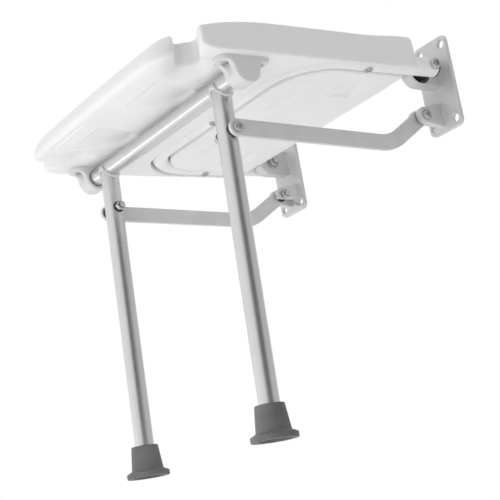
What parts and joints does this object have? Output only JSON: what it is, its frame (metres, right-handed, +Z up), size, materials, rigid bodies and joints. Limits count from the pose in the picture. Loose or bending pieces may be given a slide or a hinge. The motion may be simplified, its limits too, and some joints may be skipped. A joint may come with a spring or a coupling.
{
  "type": "fold down wall seat",
  "caption": "Fold-down wall seat: moulded panel on a bent tube frame, hinged from wall plates, with drop-down legs on rubber feet held by flat stay bars.",
  "frame": {"origin": "on the wall plane, midway between the two wall plates, at the centre of their fixing holes", "axes": "+Y into the wall, +Z up, +X to the right of a person facing the wall; drawn unfolded, with the seat at its slope of 1.3 degrees and the legs standing"},
  "size_m": [0.436, 0.4626, 0.521],
  "materials": {
    "seat_white": "fine satin texture",
    "powder_coat": "satin powder coat",
    "tube_aluminium": "satin anodised",
    "fastener_steel": "bright zinc",
    "black_nylon": "matt",
    "foot_rubber": "matt"
  },
  "bodies": {
    "wall_brackets": {"wall_bracket_right": "powder_coat", "wall_bracket_left": "powder_coat", "upper_pivot_bushes": "black_nylon", "upper_pivot_bolts": "fastener_steel", "upper_pivot_nuts": "fastener_steel", "stay_wall_bolts": "fastener_steel", "stay_wall_nuts": "fastener_steel", "stay_wall_washers": "black_nylon"},
    "seat": {"seat_panel": "seat_white", "seat_frame_tube": "powder_coat", "frame_tube_plugs": "black_nylon", "frame_screws": "fastener_steel", "saddle_right": "seat_white", "saddle_left": "seat_white", "saddle_screws": "fastener_steel"},
    "legs": {"leg_cross_tube": "tube_aluminium", "cross_tube_end_caps": "black_nylon", "leg_tube_right": "tube_aluminium", "leg_tube_left": "tube_aluminium", "leg_welds": "tube_aluminium", "foot_right": "foot_rubber", "foot_left": "foot_rubber", "foot_washers": "fastener_steel", "leg_saddle_washers": "black_nylon", "stay_leg_bolts": "fastener_steel", "stay_leg_nuts": "fastener_steel"},
    "stay_bar_right": {"stay_right": "powder_coat"},
    "stay_bar_left": {"stay_left": "powder_coat"}
  },
  "joints": [
    {"name": "seat_fold", "type": "hinge", "parent": "wall_brackets", "child": "seat", "pos_m": [0, -0.0385, 0.0155], "axis": [-1, 0, 0], "range_deg": [0, 90]},
    {"name": "leg_fold", "type": "hinge", "parent": "seat", "child": "legs", "pos_m": [0, -0.35, -0.0205], "axis": [-1, 0, 0], "range_deg": [-90, 0]},
    {"name": "stay_fold_right", "type": "hinge", "parent": "wall_brackets", "child": "stay_bar_right", "pos_m": [0.166, -0.0385, -0.044], "axis": [-1, 0, 0], "range_deg": [0, 90]},
    {"name": "stay_fold_left", "type": "hinge", "parent": "wall_brackets", "child": "stay_bar_left", "pos_m": [-0.166, -0.0385, -0.044], "axis": [-1, 0, 0], "range_deg": [0, 90]}
  ],
  "couplings": [
    {"joint": "leg_fold", "follows": "seat_fold", "ratio": -1},
    {"joint": "stay_fold_right", "follows": "seat_fold", "ratio": 1},
    {"joint": "stay_fold_left", "follows": "seat_fold", "ratio": 1}
  ]
}
